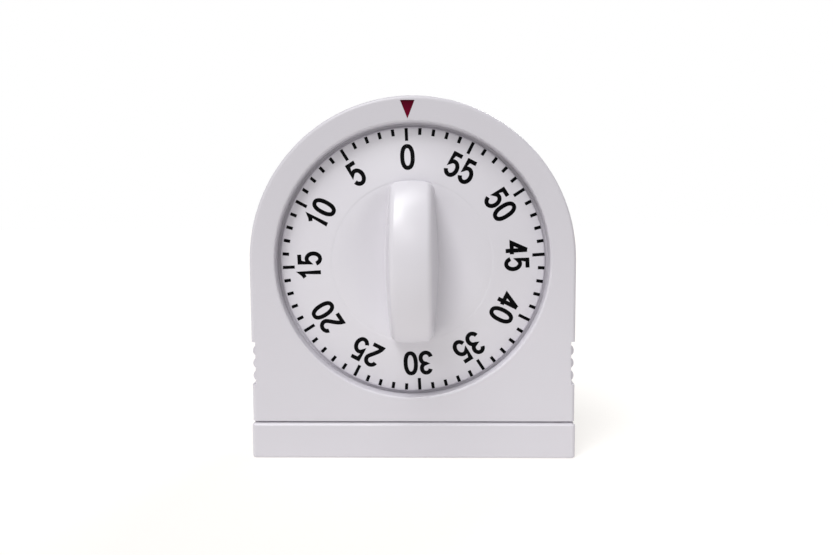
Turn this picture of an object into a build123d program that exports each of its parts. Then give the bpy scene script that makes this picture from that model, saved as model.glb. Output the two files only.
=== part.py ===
from build123d import *
import os
from math import acos, atan2, cos, degrees, hypot, pi, radians, sin, sqrt, tan

# A mechanical sixty minute countdown timer: an arched case on a plinth, a dial with a
# bow-shaped grip, and a clockwork that unwinds it back to zero and rings a bell.
# Everything is drawn lying on its back: X to the right, Y up the face, Z out of the face.
# Z = 0 is the outside of the rear cover and Y = 0 is under the plinth. stand_up() turns it
# onto its base, with the face towards -Y and +Z up. All sizes are in millimetres.

# ---- Case ----
bezel_width = 7.9  # round the dial's opening, at the sides and over the arch
chin_height = 7.5  # from the opening down to the plinth
wall = 2.2
face_wall = 2.4
face_edge_radius = 1.2  # rounding round the bezel
back_edge_radius = 3.0
parting_height = 12.0  # depth of the rear cover, up to the joint
lip_height = 1.6  # tongue of the front housing inside the rear cover
lip_thickness = 1.0
fit_gap = 0.1  # moulded parts that slot together

# ---- Plinth ----
plinth_height = 11.2
plinth_proud = 0.3  # stands out from the body in front and at the sides
plinth_wall = 3.0
plinth_floor = 2.2
plinth_corner_radius = 1.2
plinth_top_chamfer = 0.8
plinth_foot_radius = 0.8
groove_height = 0.6  # shadow line between plinth and body
groove_depth = 1.2

# ---- Finger grips on the case's sides ----
grip_recess_bottom = 23.2
grip_recess_top = 36.6
grip_recess_depth = 1.3
ridge_count = 3
ridge_pitch = 3.9
ridge_radius = 1.9
ridge_set_back = 0.3  # crest of each ridge below the case's side
grip_backing = 1.5  # thicker wall behind the recess

# ---- Red pointer let into the bezel ----
pointer_width = 4.3
pointer_height = 5.4
pointer_top_margin = 1.5  # below the top of the case
pointer_offset = -1.1  # it sits a little left of the middle
pointer_thickness = 0.8
pointer_sink = 0.12  # below the bezel face
pointer_gap = 0.04

# ---- Dial ----
opening_radius = 42.1
opening_edge_radius = 0.7
well_wall = 1.8
well_floor = 1.6
dial_gap = 1.0  # between the dial's rim and the well
dial_lift = 0.4  # between the dial's skirt and the floor of the well
skirt_height = 2.6
rim_recess = 4.0  # rim below the bezel face
rim_edge_radius = 0.8
cone_angle = 11.0  # the numbered ring slopes back towards the rim
hub_radius = 24.6
hub_edge_radius = 3.0
dish_depth = 1.1
dish_run = 5.0  # how far the dish's side runs in from the hub's edge
dial_wall = 2.2

# ---- Bow grip on the dial ----
bow_length = 49.0
bow_width = 12.2
bow_end_height = 4.3  # above the hub's edge
bow_height = 16.3
bow_edge_radius = 2.0
bow_crown_radius = 30.0  # across the crest
bow_draft = 7.0  # the flanks lean out towards the dial
bow_foot_radius = 2.6  # where the flanks grow out of the dial
bow_wall = 2.2
boss_radius = 5.5  # the hub inside the bow that takes the arbor

# ---- Clockwork: plates and levels, counted from the rear plate's inner face ----
bell_room = 8.6  # rear cover's inner face to the rear plate
plate_thickness = 1.2
plate_spacing = 10.0
spring_room = 6.2  # front plate to the floor of the dial's well
plate_width = 66.0
plate_height = 60.0
plate_drop = 4.0  # the plates' centre below the dial's axis
plate_top_corner = 6.0
plate_bottom_corner = 4.0
third_level = 0.9
second_level = 3.4
great_level = 5.8
cam_level = 7.8
strike_level = 8.2
wheel_thickness = 0.8
great_thickness = 1.0
end_shake = 0.15
running_gap = 0.05  # radial, pivots in their holes

# ---- Clockwork: train ----
great_teeth, second_teeth, third_teeth, pinion_leaves = 64, 60, 56, 8
great_module, second_module, third_module = 0.6, 0.5, 0.45
pressure_angle = radians(20)
addendum = 0.8  # in modules, as the next three are
profile_shift = 0.5  # the leaves of a pinion are thickened, the wheel's teeth thinned
root_clearance = 0.25
backlash = 0.16
pinion_overhang = 0.6  # a pinion is longer than its wheel is thick, each side
second_angle, third_angle, escape_angle, anchor_angle = -42.0, 205.0, 165.0, 140.0
main_radius = 3.0
main_pivot_radius = 1.5
shaft_flat_depth = 0.9  # the dial is keyed to a flat on the arbor
shaft_depth = 4.0  # arbor's end below the crest of the bow
flange_radius = 5.0
arbor_radius = 1.0
pivot_radius = 0.6
spoke_width = 2.2
wheel_rim = 2.0
wheel_hub = 3.0
clutch_strip = 0.3  # thickness of the clutch's spring washer
clutch_reach = 1.5  # beyond the flange

# ---- Escapement ----
escape_teeth = 18
escape_radius = 8.5
escape_tooth_depth = 2.0
pallet_span = 3.5  # pitches of the escape wheel between the two pins
pallet_pin_radius = 0.4
pallet_gap = 0.15  # pin outside the wheel's tips when the anchor stands in the middle
pallet_swing = 6.0
escape_tip_share = 0.1  # of the pitch, as the next one is
escape_slope_share = 0.35
anchor_arm_width = 1.6
anchor_hub_radius = 2.4
anchor_lift = 0.4  # above the escape wheel
pallet_overreach = 0.3  # pins below the escape wheel
rocker_length = 18.0
rocker_width = 2.4
rocker_weight_radius = 2.2
rocker_weight_proud = 0.4  # weights thicker than the bar, each side

# ---- Ringing ----
bell_radius = 23.0
bell_thickness = 0.9
bell_rim_gap = 0.6  # rim to rear plate
bell_nut_gap = 0.3  # nut to rear cover
bell_offset = (-3.0, 4.6)  # from the dial's axis
bell_post_radius = 2.2
bell_stud_radius = 1.4
star_teeth = 6
star_radius = 4.5
star_root_radius = 2.4
star_gap_angle = 92.0  # middle of the gap under the hammer's tail at rest
star_tip_share = 0.12  # of the pitch, as the next one is
star_root_share = 0.4
hammer_offset = (19.0, -31.0)  # places from the dial's axis, as the next ones are
hammer_head_radius = 2.2
hammer_head_height = 3.6
hammer_gap = 1.2  # head to bell at rest
hammer_hub_radius = 2.2
hammer_arm_gap = 1.8  # behind the rear plate
hammer_arbor_overhang = 0.4
tail_angle = 85.0  # of the tail's tip, seen from the star
tail_elbow_offset = (7.5, -15.5)
tail_tip_radius = 0.7
tail_gap = 0.35  # tip of the tail outside the star's teeth
spring_post_offset = (15.0, -19.0)
spring_post_radius = 0.7
spring_wire_radius = 0.3
catch_offset = (27.0, -20.0)
lever_arm_width = 2.2
finger_width = 1.8
lever_level = 7.9
lever_collar = 0.6  # below the ring lever
lever_collar_radius = 1.6
snail_low_radius = 8.5
cam_hub_wall = 1.2
snail_rise = 3.0
snail_face = 340.0  # degrees of the cam that the follower runs on
follower_radius = 0.8
follower_gap = 0.3
follower_arm = 20.0
follower_angle = -84.0  # where the follower meets the cam
lever_finger_offset = (21.3, -20.9)
dial_travel = 354.0  # fifty-nine minutes, between the stops

# ---- Mainspring ----
barrel_radius = 16.0
barrel_wall = 0.8
barrel_height = 5.6
spring_turns = 5
spring_strip = 0.4
spring_gap = 0.15  # to the arbor and to the barrel
barrel_clearance = 0.3

# ---- Stops ----
stop_radius = 17.2  # on the great wheel's rim
stop_pin_radius = 0.4
stop_pin_height = 0.8
stop_post_overlap = 0.6

# ---- Fasteners ----
screw_radius = 1.4
screw_hole_gap = 0.2
screw_head_radius = 2.9
screw_head_height = 1.9
pilot_radius = 1.4
screw_boss_radius = 3.6
column_wall = 1.2  # round a sunk screw head
cover_screw_inset = 8.6  # from the outside of the case to a cover screw
cover_screw_angle = 60.0  # of the upper pair, above the dial's axis
column_floor = 5.6  # level of the shoulder under a cover screw's head
cover_screw_length = 14.0
base_screw_clearance = 2.0  # from the plates and the cover screws' ends to the base screws' bosses
base_screw_length = 14.0
base_boss_height = 12.0
movement_screw_offsets = ((0.0, -29.0), (-22.0, 12.0), (22.0, 12.0))
movement_boss_radius = 3.0
movement_head_radius = 2.5
movement_head_height = 1.3
movement_screw_reach = 0.6  # behind the front plate
pillar_radius = 2.2
pillar_tenon_radius = 1.4
pillar_low_offset = (27.0, -31.0)
pillar_high_offset = (27.0, 21.0)
nut_across = 4.6
nut_height = 1.4
rivet_radius = 2.0
rivet_height = 0.5

# ---- Sound slots in the rear cover ----
slot_width = 2.0
slot_pitch = 5.0
slot_field_radius = 20.0

# ---- Worked out from the sizes above ----
arch_radius = opening_radius + bezel_width
case_width = 2 * arch_radius
body_bottom = plinth_height + groove_height
dial_height = body_bottom + chin_height + opening_radius
case_height = dial_height + arch_radius
main = (0.0, dial_height)
rear_plate_back = wall + bell_room
rear_inner = rear_plate_back + plate_thickness
front_inner = rear_inner + plate_spacing
front_plate_front = front_inner + plate_thickness
well_back = front_plate_front + spring_room
well_front = well_back + well_floor
skirt_bottom = well_front + dial_lift
rim_top = skirt_bottom + skirt_height
face = rim_top + rim_recess
case_depth = face
dial_radius = opening_radius - dial_gap
hub_top = rim_top + (dial_radius - hub_radius) * tan(radians(cone_angle))
dish_floor = hub_top - dish_depth
crest = hub_top + bow_height
shaft_top = crest - shaft_depth
bow_sag = bow_height - bow_end_height
bow_radius = (bow_sag**2 + (bow_length / 2) ** 2) / (2 * bow_sag)
hammer_arm_level = rear_plate_back - hammer_arm_gap
bell_crown = wall + bell_nut_gap + nut_height
bell_shoulder = bell_crown + bell_thickness
touch = 1e-3  # nearer than this counts as level
column_radius = screw_head_radius + screw_hole_gap + column_wall
hole_radius = screw_radius + screw_hole_gap
base_screw_side = plate_width / 2 + base_screw_clearance + screw_boss_radius
base_screw_back = column_floor + cover_screw_length + base_screw_clearance + screw_boss_radius


def offset_from(centre, offset):
    return (centre[0] + offset[0], centre[1] + offset[1])


def polar(centre, distance, angle):
    """A point at that distance and angle, in degrees, from a centre."""
    return (centre[0] + distance * cos(radians(angle)), centre[1] + distance * sin(radians(angle)))


def angle_between(start, end):
    return degrees(atan2(end[1] - start[1], end[0] - start[0]))


def distance_between(start, end):
    return hypot(end[0] - start[0], end[1] - start[1])


def turned(point, centre, angle):
    """A point turned about a centre by an angle in degrees, anticlockwise on the face."""
    return polar(centre, distance_between(centre, point), angle_between(centre, point) + angle)


def centre_distance(module, teeth):
    return module * (teeth + pinion_leaves) / 2


second = polar(main, centre_distance(great_module, great_teeth), second_angle)
third = polar(second, centre_distance(second_module, second_teeth), third_angle)
escape = polar(third, centre_distance(third_module, third_teeth), escape_angle)
half_span = 180.0 * pallet_span / escape_teeth
anchor_distance = (escape_radius + pallet_gap + pallet_pin_radius) / cos(radians(half_span))
anchor = polar(escape, anchor_distance, anchor_angle)
bell_centre = offset_from(main, bell_offset)
hammer = offset_from(main, hammer_offset)
head_reach = bell_radius + hammer_gap + hammer_head_radius
hammer_distance = distance_between(bell_centre, hammer)
head_angle = angle_between(bell_centre, hammer) + degrees(acos(head_reach / hammer_distance))
hammer_head = polar(bell_centre, head_reach, head_angle)  # it strikes the rim square on
cam_contact = snail_low_radius + follower_gap + follower_radius
follower = polar(main, cam_contact, follower_angle)
lever_pivot = polar(follower, follower_arm, follower_angle + 90)
lever_swing = degrees(snail_rise / follower_arm)
lever_ratio = lever_swing / dial_travel


def cylinder(centre, bottom, top, radius):
    """A round bar along Z between two levels."""
    return Pos(centre[0], centre[1], (bottom + top) / 2) * Cylinder(radius, top - bottom)


def plate(shape, bottom, top):
    """A flat outline made into a plate between two levels."""
    return extrude(Pos(0, 0, bottom) * shape, top - bottom)


def capsule(start, end, width):
    """A flat bar with round ends, from one point to another."""
    length = distance_between(start, end)
    middle = ((start[0] + end[0]) / 2, (start[1] + end[1]) / 2)
    return Pos(*middle) * Rot(0, 0, angle_between(start, end)) * SlotCenterToCenter(length, width)


def arch_outline(inset, bottom):
    """A half circle on straight sides, inset from the case's outline, cut off level at the bottom."""
    half = arch_radius - inset
    outline = [
        Line((-half, bottom), (half, bottom)),
        Line((half, bottom), (half, dial_height)),
        ThreePointArc((half, dial_height), (0, dial_height + half), (-half, dial_height)),
        Line((-half, dial_height), (-half, bottom)),
    ]
    return make_face(outline)


def body_block(bottom, top, rounded_level, radius):
    """The arched block of the case between two levels, rounded along one end's edge and cut off
    square above the plinth."""
    overhang = 2 * back_edge_radius
    block = plate(arch_outline(0, body_bottom - overhang), bottom, top)
    end = block.faces().sort_by(Axis.Z)[0 if rounded_level == bottom else -1]
    edges = [e for e in end.edges() if e.center().Y > body_bottom]
    block = fillet(edges, radius)
    below = Pos(0, body_bottom - case_height / 2, (bottom + top) / 2) * Box(
        2 * case_width, case_height, 2 * case_depth
    )
    return block - below


# ---- Case pieces ----
def grip_ridges():
    """Ridges along the case's sides, seen from the front, for both sides."""
    middle = (grip_recess_bottom + grip_recess_top) / 2
    centre_x = arch_radius - ridge_set_back - ridge_radius
    ridges = []
    for side in (-1, 1):
        for n in range(ridge_count):
            height = middle + (n - (ridge_count - 1) / 2) * ridge_pitch
            place = (side * centre_x, height)
            ridges.append(cylinder(place, parting_height, face - face_edge_radius, ridge_radius))
    return ridges


def grip_recess(side, depth, bottom, top):
    height = grip_recess_top - grip_recess_bottom
    middle = (grip_recess_bottom + grip_recess_top) / 2
    return Pos(side * arch_radius, middle, (bottom + top) / 2) * Box(2 * depth, height, top - bottom)


def pointer_outline(gap):
    """A triangle that points down at the dial, grown by a gap."""
    top = case_height - pointer_top_margin
    half = pointer_width / 2
    triangle = Polyline(
        (pointer_offset - half, top),
        (pointer_offset + half, top),
        (pointer_offset, top - pointer_height),
        close=True,
    )
    outline = make_face(triangle)
    return offset(outline, gap, kind=Kind.INTERSECTION) if gap else outline


def cover_screw_places():
    low_side, low_height = arch_radius - cover_screw_inset, body_bottom + cover_screw_inset
    low = [(-low_side, low_height), (low_side, low_height)]
    return low + [polar(main, low_side, angle) for angle in (180 - cover_screw_angle, cover_screw_angle)]


def movement_screw_places():
    return [offset_from(main, o) for o in movement_screw_offsets]


def front_housing():
    shell = body_block(parting_height, face, face, face_edge_radius)
    shell -= plate(arch_outline(wall, body_bottom + wall), parting_height, face - face_wall)
    lip_inset = wall + fit_gap
    lip_outside = arch_outline(lip_inset, body_bottom + lip_inset)
    lip_inside = arch_outline(lip_inset + lip_thickness, body_bottom + lip_inset + lip_thickness)
    lip = plate(lip_outside - lip_inside, parting_height - lip_height, parting_height)
    root_outline = arch_outline(wall, body_bottom + wall) - lip_inside
    root = plate(root_outline, parting_height, parting_height + lip_height)
    shell += lip + root
    for side in (-1, 1):
        backing = grip_recess(side, wall + grip_backing, parting_height, face - face_wall)
        shell += backing & plate(arch_outline(0.5 * wall, body_bottom), parting_height, face)
        shell -= grip_recess(side, grip_recess_depth, parting_height, face)
    shell += grip_ridges()
    well_radius = opening_radius + well_wall
    shell += cylinder(main, well_back, face - face_wall, well_radius)
    for place in cover_screw_places():
        roof = face - face_wall if distance_between(place, main) > well_radius else well_back
        shell += cylinder(place, parting_height, roof, screw_boss_radius)
        shell -= cylinder(place, parting_height, parting_height + cover_screw_length, pilot_radius)
    for place in movement_screw_places():
        shell += cylinder(place, front_plate_front, well_back, movement_boss_radius)
        shell -= cylinder(place, front_plate_front, well_front, hole_radius)
    for x in (-base_screw_side, base_screw_side):
        boss = Pos(x, body_bottom + base_boss_height / 2, base_screw_back) * Rot(90, 0, 0)
        shell += boss * Cylinder(screw_boss_radius, base_boss_height)
        shell -= boss * Cylinder(pilot_radius, base_boss_height)
    shell -= cylinder(main, well_front, face, opening_radius)
    shell -= cylinder(main, well_back, well_front, main_radius + 2 * dial_lift)
    opening_edges = [
        e for e in shell.edges().filter_by(GeomType.CIRCLE)
        if abs(e.radius - opening_radius) < 1e-3 and abs(e.center().Z - face) < 1e-3
    ]
    shell = fillet(opening_edges, opening_edge_radius)
    shell -= plate(pointer_outline(pointer_gap), face - pointer_sink - pointer_thickness, face)
    return shell


def pointer_insert():
    top = face - pointer_sink
    return plate(pointer_outline(0), top - pointer_thickness, top)


def sound_slots():
    """Upright slots that fill a circle behind the bell."""
    reach = int(slot_field_radius / slot_pitch)
    slots = []
    for n in range(-reach, reach + 1):
        x = n * slot_pitch
        length = 2 * sqrt(max(slot_field_radius**2 - x**2, (2 * slot_width) ** 2))
        slots.append(Pos(x, dial_height) * Rot(0, 0, 90) * SlotOverall(length, slot_width))
    return slots


def rear_cover():
    shell = body_block(0, parting_height, 0, back_edge_radius)
    shell -= plate(arch_outline(wall, body_bottom + wall), wall, parting_height)
    for slot in sound_slots():
        shell -= plate(slot, 0, wall)
    for place in cover_screw_places():
        shell += cylinder(place, wall, parting_height - fit_gap, column_radius)
        shell -= cylinder(place, 0, column_floor, screw_head_radius + screw_hole_gap)
        shell -= cylinder(place, column_floor, parting_height, hole_radius)
    return shell


def cover_screws():
    """Pan head screws from the back through the columns into the front housing."""
    screws = []
    for place in cover_screw_places():
        head = cylinder(place, column_floor - screw_head_height, column_floor, screw_head_radius)
        screws.append(head + cylinder(place, column_floor, column_floor + cover_screw_length, screw_radius))
    return screws


def base_plinth():
    outer_half = arch_radius + plinth_proud
    depth = case_depth + plinth_proud
    block = Pos(0, plinth_height / 2, depth / 2) * Box(2 * outer_half, plinth_height, depth)
    upright = [e for e in block.edges().filter_by(Axis.Y) if e.center().Z > depth / 2]
    block = fillet(upright, plinth_corner_radius)
    block = chamfer(block.faces().sort_by(Axis.Y)[-1].edges(), plinth_top_chamfer)
    block = fillet(block.faces().sort_by(Axis.Y)[0].edges(), plinth_foot_radius)
    deck_width = 2 * (arch_radius - groove_depth)
    deck_depth = case_depth - 2 * groove_depth
    block += Pos(0, (plinth_floor + body_bottom) / 2, case_depth / 2) * Box(
        deck_width, body_bottom - plinth_floor, deck_depth
    )
    block -= Pos(0, (plinth_floor + body_bottom) / 2, depth / 2) * Box(
        2 * (outer_half - plinth_wall), body_bottom - plinth_floor, depth - 2 * plinth_wall
    )
    for x in (-base_screw_side, base_screw_side):
        place = Pos(x, body_bottom / 2, base_screw_back) * Rot(90, 0, 0)
        block += place * Cylinder(screw_boss_radius, body_bottom) & base_column(x)
        block -= place * Cylinder(screw_radius + screw_hole_gap, body_bottom)
        head_room = 2 * screw_head_height
        block -= Pos(x, head_room / 2, base_screw_back) * Rot(90, 0, 0) * Cylinder(
            screw_head_radius + screw_hole_gap, head_room
        )
    return block


def base_column(x):
    """The space over the plinth's floor that one screw column may fill."""
    side = 2 * (screw_boss_radius + 1)
    return Pos(x, (plinth_floor / 2 + body_bottom) / 2, base_screw_back) * Box(
        side, body_bottom - plinth_floor / 2, side
    )


def base_screws():
    """Screws from below, heads sunk in the plinth."""
    screws = []
    seat = 2 * screw_head_height
    for x in (-base_screw_side, base_screw_side):
        head_middle = seat - screw_head_height / 2
        shank_middle = seat + base_screw_length / 2
        head = Cylinder(screw_head_radius, screw_head_height)
        shank = Cylinder(screw_radius, base_screw_length)
        screw = Pos(x, head_middle, base_screw_back) * Rot(90, 0, 0) * head
        screws.append(screw + Pos(x, shank_middle, base_screw_back) * Rot(90, 0, 0) * shank)
    return screws


# ---- Dial and main arbor ----
def dial_section():
    """Half section of the dial, radius along X and height along Y, with its edges rounded."""
    back = dial_wall
    inner = dial_radius - dial_wall
    cone_back = rim_top - back + dial_wall * tan(radians(cone_angle))
    points = [
        (0, dish_floor),
        (hub_radius - dish_run, dish_floor),
        (hub_radius, hub_top),
        (dial_radius, rim_top),
        (dial_radius, skirt_bottom),
        (inner, skirt_bottom),
        (inner, cone_back),
        (hub_radius, hub_top - back),
        (hub_radius - dish_run, dish_floor - back),
        (0, dish_floor - back),
    ]
    section = make_face(Polyline(*points, close=True))

    def corner(radius, height):
        return [v for v in section.vertices() if abs(v.X - radius) < 1e-6 and abs(v.Y - height) < 1e-6]

    section = fillet(corner(hub_radius, hub_top) + corner(hub_radius - dish_run, dish_floor), hub_edge_radius)
    return fillet(corner(dial_radius, rim_top), rim_edge_radius)


def revolved(section):
    """A half section, radius along X and height along Y, turned about the dial's axis."""
    upright = Pos(main[0], main[1], 0) * Rot(90, 0, 0) * section
    return revolve(upright, Axis((main[0], main[1], 0), (0, 0, 1)), 360)


def bow_section(inset):
    """Cross section of the bow grip: crowned crest, flanks that lean out towards the dial.
    X is across the bow, Y is the distance from the axis that the crest curves about."""
    half = bow_width / 2 - inset
    crown = bow_radius - inset
    top = crown - (bow_crown_radius - sqrt(bow_crown_radius**2 - half**2))
    foot = bow_radius - (crest - dish_floor + dial_wall)
    low_half = half + (top - foot) * tan(radians(bow_draft))
    outline = [
        Line((-low_half, foot), (low_half, foot)),
        Line((low_half, foot), (half, top)),
        ThreePointArc((half, top), (0, crown), (-half, top)),
        Line((-half, top), (-low_half, foot)),
    ]
    return make_face(outline)


def bow(inset):
    """The bow grip: its cross section swept round the axis of its crest."""
    axis_level = crest - bow_radius
    section = Pos(0, dial_height, axis_level) * Rot(90, 0, 0) * bow_section(inset)
    return revolve(section, Axis((0, dial_height, axis_level), (1, 0, 0)), 360)


def bow_limits(inset):
    """The space of the bow grip, round the hub and from under the dish up."""
    return cylinder(main, dish_floor - dial_wall, crest + 1, bow_length / 2 - inset)


def d_shaft(gap, bottom, top):
    """The arbor's end, a round bar with a flat along one side, grown by a gap."""
    radius = main_radius + gap
    flat = Rectangle(2 * radius, 2 * radius, align=(Align.MIN, Align.CENTER))
    return plate(Pos(*main) * (Circle(radius) - Pos(radius - shaft_flat_depth, 0) * flat), bottom, top)


def is_foot(edge):
    """Whether an edge is where a flank of the bow meets the dish's floor."""
    middle = edge @ 0.5
    return abs(middle.Z - dish_floor) < touch and bow_width / 2 < abs(middle.X) < bow_width


def bow_grip():
    """The bow with its flanks run out into the dish's floor, and its crest's edges rounded."""
    under = dish_floor - dial_wall
    length = bow_length + bow_edge_radius
    floor = Pos(0, dial_height, (under + dish_floor) / 2) * Box(bow_length, length, dial_wall)
    above = Pos(0, dial_height, (under + crest + 1) / 2) * Box(bow_length, length, crest + 1 - under)
    grip = floor + (bow(0) & above)
    grip = fillet([e for e in grip.edges() if is_foot(e)], bow_foot_radius) & bow_limits(0)
    crest_edges = [e for e in grip.edges() if (e @ 0.5).Z > hub_top + bow_end_height / 2]
    return fillet(crest_edges, bow_edge_radius)


def dial_knob():
    knob = revolved(dial_section()) + bow_grip()
    knob -= bow(bow_wall) & bow_limits(bow_wall)
    knob += cylinder(main, skirt_bottom, shaft_top + bow_wall, boss_radius)
    return knob - d_shaft(running_gap, skirt_bottom, shaft_top)


def main_arbor():
    flange_bottom = rear_inner + great_level - great_thickness
    bar = cylinder(main, rear_inner + end_shake, skirt_bottom, main_radius)
    bar += cylinder(main, flange_bottom, rear_inner + great_level, flange_radius)
    bar += cylinder(main, rear_plate_back - end_shake, rear_inner + end_shake, main_pivot_radius)
    return bar + d_shaft(0, skirt_bottom, shaft_top - end_shake)


# ---- Train ----
def tooth_half_angle(radius, teeth, module, shift):
    """Half the angle that an involute tooth takes up at a radius, in radians."""
    pitch_radius = module * teeth / 2
    thickness = module * (pi / 2 + 2 * shift * tan(pressure_angle) - backlash)
    slope = acos(min(1.0, pitch_radius * cos(pressure_angle) / radius))
    involute_here = tan(slope) - slope
    involute_pitch = tan(pressure_angle) - pressure_angle
    return thickness / (2 * pitch_radius) + involute_pitch - involute_here


def gear_outline(teeth, module, shift, mate_tip, mate_distance, toward, flank_steps):
    """A gear's outline about the origin, with a tooth that points in the direction toward."""
    tip = module * (teeth / 2 + addendum + shift)
    root = mate_distance - mate_tip - root_clearance * module
    radii = [root + (tip - root) * n / flank_steps for n in range(flank_steps + 1)]
    points = []
    for n in range(teeth):
        centre = radians(toward) + 2 * pi * n / teeth
        for r in radii:
            angle = centre - tooth_half_angle(r, teeth, module, shift)
            points.append((r * cos(angle), r * sin(angle)))
        for r in reversed(radii):
            angle = centre + tooth_half_angle(r, teeth, module, shift)
            points.append((r * cos(angle), r * sin(angle)))
    return make_face(Polyline(*points, close=True))


def wheel(place, mate, teeth, module, level, thickness, bore):
    """A brass wheel with four spokes, one tooth on the line to the pinion that it drives."""
    toward = angle_between(place, mate)
    pinion_tip = module * (pinion_leaves / 2 + addendum + profile_shift)
    outline = gear_outline(
        teeth, module, -profile_shift, pinion_tip, centre_distance(module, teeth), toward, 1
    )
    root = centre_distance(module, teeth) - pinion_tip - root_clearance * module
    hub = bore + wheel_hub
    windows = Circle(root - wheel_rim) - Circle(hub)
    windows -= Rectangle(2 * root, spoke_width)
    windows -= Rectangle(spoke_width, 2 * root)
    blank = outline - windows - Circle(bore)
    return plate(Pos(*place) * blank, rear_inner + level, rear_inner + level + thickness)


def pinion(place, mate, teeth, module, level, thickness):
    """The leaves of a pinion, with a gap on the line to the wheel that drives it."""
    toward = angle_between(place, mate) + 180 / pinion_leaves
    wheel_tip = module * (teeth / 2 + addendum - profile_shift)
    outline = gear_outline(
        pinion_leaves, module, profile_shift, wheel_tip, centre_distance(module, teeth), toward, 4
    )
    bottom = rear_inner + level - pinion_overhang
    return plate(Pos(*place) * outline, bottom, bottom + thickness + 2 * pinion_overhang)


def arbor(place):
    """A steel rod with thinner pivots that run in the two plates."""
    body = cylinder(place, rear_inner + end_shake, front_inner - end_shake, arbor_radius)
    return body + cylinder(place, rear_plate_back, front_plate_front, pivot_radius)


def great_wheel():
    bore = main_radius + running_gap
    return wheel(main, second, great_teeth, great_module, great_level, great_thickness, bore)


def second_arbor():
    return arbor(second) + pinion(second, main, great_teeth, great_module, great_level, great_thickness)


def second_wheel():
    return wheel(second, third, second_teeth, second_module, second_level, wheel_thickness, arbor_radius)


def third_arbor():
    return arbor(third) + pinion(third, second, second_teeth, second_module, second_level, wheel_thickness)


def third_wheel():
    return wheel(third, escape, third_teeth, third_module, third_level, wheel_thickness, arbor_radius)


def escape_arbor():
    return arbor(escape) + pinion(escape, third, third_teeth, third_module, third_level, wheel_thickness)


def clutch_spring():
    """A dished spring washer that presses the great wheel against its flange."""
    low = rear_inner + great_level + great_thickness
    high = rear_inner + cam_level
    inner, outer = main_radius + running_gap, flange_radius + clutch_reach
    middle = (inner + outer) / 2
    points = [
        (inner, high - clutch_strip),
        (inner, high),
        (middle, high),
        (outer, low + clutch_strip),
        (outer, low),
        (middle, low),
    ]
    return revolved(make_face(Polyline(*points, close=True)))


# ---- Escapement ----
def pallet_pin(side):
    return polar(escape, escape_radius + pallet_gap + pallet_pin_radius, anchor_angle + side * half_span)


def escape_wheel():
    """Leaning saw teeth, set so that each pallet pin drops a quarter pitch clear of a tooth."""
    pitch = 360 / escape_teeth
    phase = anchor_angle - half_span - pitch / 4
    tip = escape_tip_share * pitch / 2
    foot = tip + escape_slope_share * pitch
    root = escape_radius - escape_tooth_depth
    points = []
    for n in range(escape_teeth):
        angle = phase + n * pitch
        points += [
            polar((0, 0), root, angle - tip),
            polar((0, 0), escape_radius, angle - tip),
            polar((0, 0), escape_radius, angle + tip),
            polar((0, 0), root, angle + foot),
        ]
    blank = make_face(Polyline(*points, close=True)) - Circle(arbor_radius)
    bottom = rear_inner + second_level
    return plate(Pos(*escape) * blank, bottom, bottom + wheel_thickness)


def anchor_lever():
    """The anchor: two arms, each with a pin that reaches down beside the escape wheel."""
    wheel_top = rear_inner + second_level + wheel_thickness
    bottom = wheel_top + anchor_lift
    shape = Pos(*anchor) * Circle(anchor_hub_radius)
    pins = []
    for side in (-1, 1):
        pin = pallet_pin(side)
        shape += capsule(anchor, pin, anchor_arm_width)
        pins.append(cylinder(pin, wheel_top - wheel_thickness - pallet_overreach, bottom, pallet_pin_radius))
    shape -= Pos(*anchor) * Circle(arbor_radius)
    return plate(shape, bottom, bottom + wheel_thickness) + pins


def rocker():
    """The bar whose weighted ends set the pace of the ticking."""
    bottom = rear_inner + third_level
    top = bottom + wheel_thickness
    along = anchor_angle - 90
    ends = [polar(anchor, side * rocker_length / 2, along) for side in (-1, 1)]
    shape = capsule(ends[0], ends[1], rocker_width) - Pos(*anchor) * Circle(arbor_radius)
    weights = [
        cylinder(end, bottom - rocker_weight_proud, top + rocker_weight_proud, rocker_weight_radius)
        for end in ends
    ]
    return plate(shape, bottom, top) + weights


# ---- Ringing ----
def snail_cam():
    """The cam's edge keeps the follower's clearance while the lever turns evenly with the dial:
    for each dial angle, the follower's place is turned back into the cam's own frame."""
    steps = 14
    points = []
    for n in range(steps + 1):
        turn = snail_face * n / steps
        place = turned(follower, lever_pivot, lever_ratio * turn)
        seen = turned(place, main, turn)
        reach = distance_between(main, seen) - follower_gap - follower_radius
        points.append(polar((0, 0), reach, angle_between(main, seen)))
    edge = [Spline(*points), Line(points[-1], points[0])]
    blank = make_face(edge) - Circle(main_radius)
    bottom = rear_inner + cam_level
    hub = Pos(*main) * (Circle(main_radius + cam_hub_wall) - Circle(main_radius))
    cam = plate(Pos(*main) * blank, bottom, bottom + wheel_thickness)
    return cam + plate(hub, bottom, front_inner - end_shake)


def ring_lever():
    """Rides on the snail cam with one arm; the other arm is the finger that holds the hammer off."""
    finger = offset_from(main, lever_finger_offset)
    shape = Pos(*lever_pivot) * Circle(lever_arm_width)
    shape += capsule(lever_pivot, follower, 2 * follower_radius)
    shape += capsule(lever_pivot, finger, finger_width)
    shape -= Pos(*lever_pivot) * Circle(arbor_radius + running_gap)
    bottom = rear_inner + lever_level
    return plate(shape, bottom, bottom + wheel_thickness)


def lever_stud():
    """A shouldered stud on the front plate that the ring lever turns on."""
    seat = rear_inner + lever_level
    stud = cylinder(lever_pivot, seat - lever_collar, front_plate_front, arbor_radius)
    stud += cylinder(lever_pivot, seat - lever_collar, seat, lever_collar_radius)
    return stud + cylinder(lever_pivot, front_plate_front, front_plate_front + rivet_height, rivet_radius)


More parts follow.
